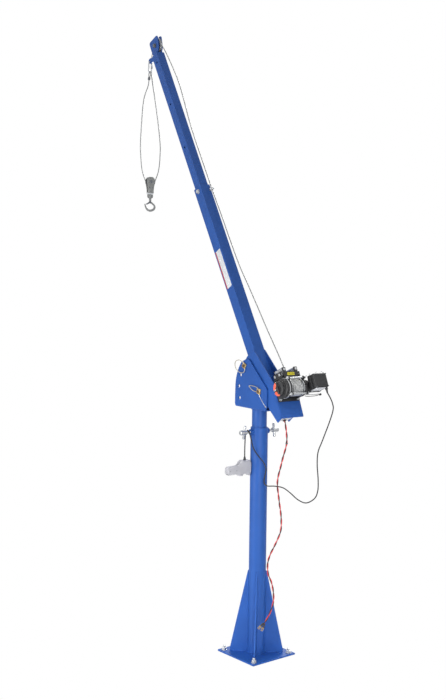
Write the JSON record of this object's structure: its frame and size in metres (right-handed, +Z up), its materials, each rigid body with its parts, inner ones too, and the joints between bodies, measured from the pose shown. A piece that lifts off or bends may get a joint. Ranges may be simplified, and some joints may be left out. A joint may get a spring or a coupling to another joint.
{
  "type": "jib crane",
  "caption": "Small floor-mounted jib crane: turning mast in a pedestal, luffing telescopic boom with pinned angle, electric winch on its tail, sheave, pulley block and hook.",
  "frame": {"origin": "centre of the square base plate's underside, on the column's axis", "axes": "+Z up along the column; the boom leans towards -X in the XZ plane, with the winch on its tail at +X; -Y is the side of the pin heads and the clutch dial"},
  "size_m": [1.4722, 0.397, 3.2979],
  "materials": {
    "black_paint": "satin",
    "black_plastic": "matte",
    "blue_paint": "gloss",
    "brass": "satin",
    "cable_sheath": "matte",
    "cord_rubber": "matte",
    "dark_steel": "satin",
    "forged_steel": "satin",
    "grey_plastic": "satin",
    "orange_dial": "satin",
    "pale_steel": "satin",
    "rope_steel": "matte",
    "yellow_zinc": "satin",
    "zinc": "satin"
  },
  "bodies": {
    "pedestal": {"base_plate": "blue_paint", "gussets": "blue_paint", "pedestal_pipe": "blue_paint", "clamp_nuts": "blue_paint", "pendant": "grey_plastic", "pendant_cord_lower": "cord_rubber"},
    "left_clamp_screw": {"clamp_screw_left": "zinc"},
    "right_clamp_screw": {"clamp_screw_right": "zinc"},
    "mast": {"power_cable": "cable_sheath", "ring_terminals": "brass", "mast_tube": "blue_paint", "head_bracket": "blue_paint", "pivot_pin": "yellow_zinc", "lock_pin": "yellow_zinc", "pin_bails": "yellow_zinc", "pendant_cord_upper": "cord_rubber"},
    "boom": {"outer_boom": "blue_paint", "inner_boom": "blue_paint", "tail_side_plates": "blue_paint", "winch_plate": "blue_paint", "tail_end_plate": "pale_steel", "extension_bolt": "zinc", "rope_guide": "zinc", "tip_cheeks": "blue_paint", "tip_axle": "zinc", "tip_lug": "blue_paint", "winch_base": "black_paint", "gearbox": "black_paint", "drum_end_bracket": "black_paint", "winch_motor": "black_paint", "tie_rods": "zinc", "fairlead_frame": "black_paint", "control_box": "black_plastic", "control_box_bracket": "black_plastic", "hoist_rope": "rope_steel"},
    "drum": {"winch_drum": "rope_steel"},
    "clutch": {"clutch_dial": "orange_dial"},
    "inner_long_roller": {"long_roller_inner": "zinc"},
    "outer_long_roller": {"long_roller_outer": "zinc"},
    "near_short_roller": {"short_roller_near": "zinc"},
    "far_short_roller": {"short_roller_far": "zinc"},
    "top_sheave": {"tip_sheave": "zinc"},
    "hook_block": {"rope_legs": "rope_steel", "snap_link": "zinc", "rope_eye": "dark_steel", "block_cheeks": "dark_steel"},
    "lower_sheave": {"block_sheave": "black_plastic"},
    "swivel_hook": {"block_swivel": "zinc", "hook": "forged_steel"},
    "latch": {"hook_latch": "dark_steel"}
  },
  "joints": [
    {"name": "left_clamp_turn", "type": "hinge", "parent": "pedestal", "child": "left_clamp_screw", "pos_m": [0, -0.08, 1.16], "axis": [0, -1, 0], "range_deg": [0, 360]},
    {"name": "right_clamp_turn", "type": "hinge", "parent": "pedestal", "child": "right_clamp_screw", "pos_m": [0, 0.08, 1.16], "axis": [0, 1, 0], "range_deg": [0, 360]},
    {"name": "mast_swivel", "type": "hinge", "parent": "pedestal", "child": "mast", "pos_m": [0, 0, 0.6], "axis": [0, 0, 1], "continuous": true, "deforming": ["pendant_cord_upper"]},
    {"name": "boom_luff", "type": "hinge", "parent": "mast", "child": "boom", "pos_m": [0.056, 0, 1.373], "axis": [0, 1, 0], "range_deg": [0, 9], "deforming": ["power_cable"]},
    {"name": "drum_spin", "type": "hinge", "parent": "boom", "child": "drum", "pos_m": [0.23394, 0.031, 1.40527], "axis": [0, 1, 0], "continuous": true},
    {"name": "clutch_turn", "type": "hinge", "parent": "boom", "child": "clutch", "pos_m": [0.23394, -0.05, 1.40527], "axis": [0, 1, 0], "range_deg": [0, 90]},
    {"name": "inner_long_roller_spin", "type": "hinge", "parent": "boom", "child": "inner_long_roller", "pos_m": [0.16087, 0.031, 1.45265], "axis": [0, 1, 0], "continuous": true},
    {"name": "outer_long_roller_spin", "type": "hinge", "parent": "boom", "child": "outer_long_roller", "pos_m": [0.1959, 0.031, 1.46738], "axis": [0, 1, 0], "continuous": true},
    {"name": "near_short_roller_spin", "type": "hinge", "parent": "boom", "child": "near_short_roller", "pos_m": [0.16908, -0.005, 1.48214], "axis": [0.9219, 0, 0.3875], "continuous": true},
    {"name": "far_short_roller_spin", "type": "hinge", "parent": "boom", "child": "far_short_roller", "pos_m": [0.16908, 0.067, 1.48214], "axis": [0.9219, 0, 0.3875], "continuous": true},
    {"name": "tip_sheave_spin", "type": "hinge", "parent": "boom", "child": "top_sheave", "pos_m": [-1.01704, 0, 3.24335], "axis": [0, 1, 0], "continuous": true},
    {"name": "hook_swing", "type": "hinge", "parent": "boom", "child": "hook_block", "pos_m": [-1.05946, -0.019, 3.16218], "axis": [0, 1, 0], "range_deg": [-20, 20], "deforming": ["rope_legs"]},
    {"name": "block_sheave_spin", "type": "hinge", "parent": "hook_block", "child": "lower_sheave", "pos_m": [-1.086, 0, 2.478], "axis": [-0.9659, 0.2588, 0], "continuous": true},
    {"name": "hook_swivel", "type": "hinge", "parent": "hook_block", "child": "swivel_hook", "pos_m": [-1.086, 0, 2.406], "axis": [0, 0, 1], "continuous": true},
    {"name": "latch_open", "type": "hinge", "parent": "swivel_hook", "child": "latch", "pos_m": [-1.086, 0, 2.362], "axis": [0.9659, -0.2588, 0], "range_deg": [0, 40], "stiffness_Nm_per_rad": 0.03, "springref_deg": -28.65}
  ]
}
